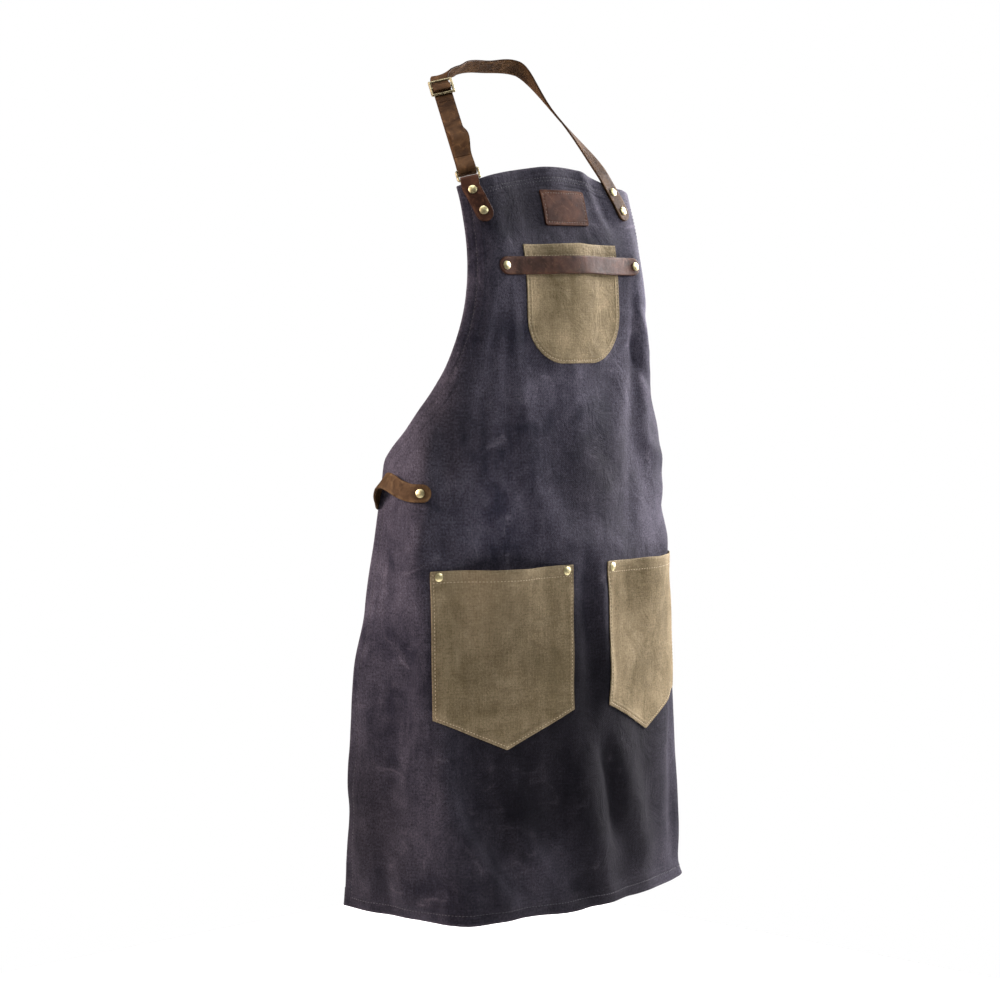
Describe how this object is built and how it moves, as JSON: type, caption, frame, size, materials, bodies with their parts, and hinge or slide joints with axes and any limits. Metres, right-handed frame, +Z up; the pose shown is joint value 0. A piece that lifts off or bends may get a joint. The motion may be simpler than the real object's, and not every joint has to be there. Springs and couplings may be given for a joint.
{
  "type": "butcher apron",
  "caption": "Bib apron in its worn shape: waxed canvas, gaping patch pockets, riveted leather trim, a neck strap with ring and sliding buckle, and leather waist loops.",
  "frame": {"origin": "inside face of the neck strap at the back of the neck, where the apron hangs", "axes": "+Z up, +X to the wearer's left, -Y to the wearer's front"},
  "size_m": [0.4546, 0.2049, 0.949],
  "materials": {
    "canvas": "waxed, matt, worn",
    "pocket_canvas": "waxed, matt",
    "leather": "oiled, satin",
    "brass": "satin",
    "antique_brass": "aged, satin"
  },
  "bodies": {
    "apron": {"apron_body": "canvas", "chest_pocket": "pocket_canvas", "hip_pocket_right": "pocket_canvas", "hip_pocket_left": "pocket_canvas", "chest_strap": "leather", "label_patch": "leather", "ring_tab": "leather", "neck_strap": "leather", "strap_return_leg": "leather", "tab_rivet_caps": "brass", "tab_rivet_backs": "brass", "neck_rivet_caps": "brass", "neck_rivet_backs": "brass", "chest_strap_rivet_caps": "brass", "chest_strap_rivet_backs": "brass", "waist_rivet_caps": "brass", "waist_rivet_backs": "brass", "pocket_rivet_caps": "brass", "pocket_rivet_backs": "brass"},
    "ring": {"strap_ring": "antique_brass"},
    "slider": {"slider": "antique_brass", "strap_end_fold": "leather"},
    "waist_loop_right": {"waist_loop_right": "leather"},
    "waist_loop_left": {"waist_loop_left": "leather"}
  },
  "joints": [
    {"name": "ring_swing", "type": "hinge", "parent": "apron", "child": "ring", "pos_m": [-0.11998, -0.09935, -0.1334], "axis": [0.7553, -0.6169, 0.2215], "range_deg": [-9, 9]},
    {"name": "slider_slide", "type": "slide", "parent": "apron", "child": "slider", "axis": [-0.2303, -0.5662, -0.7914], "range_m": [0, 0.04], "deforming": ["strap_return_leg"]},
    {"name": "waist_loop_right_swivel", "type": "hinge", "parent": "apron", "child": "waist_loop_right", "pos_m": [-0.19761, -0.10305, -0.4715], "axis": [-0.838, -0.5272, 0.1408], "range_deg": [-8, 8]},
    {"name": "waist_loop_left_swivel", "type": "hinge", "parent": "apron", "child": "waist_loop_left", "pos_m": [0.1844, -0.09661, -0.4715], "axis": [0.9986, 0.0225, 0.0487], "range_deg": [-8, 8]}
  ]
}
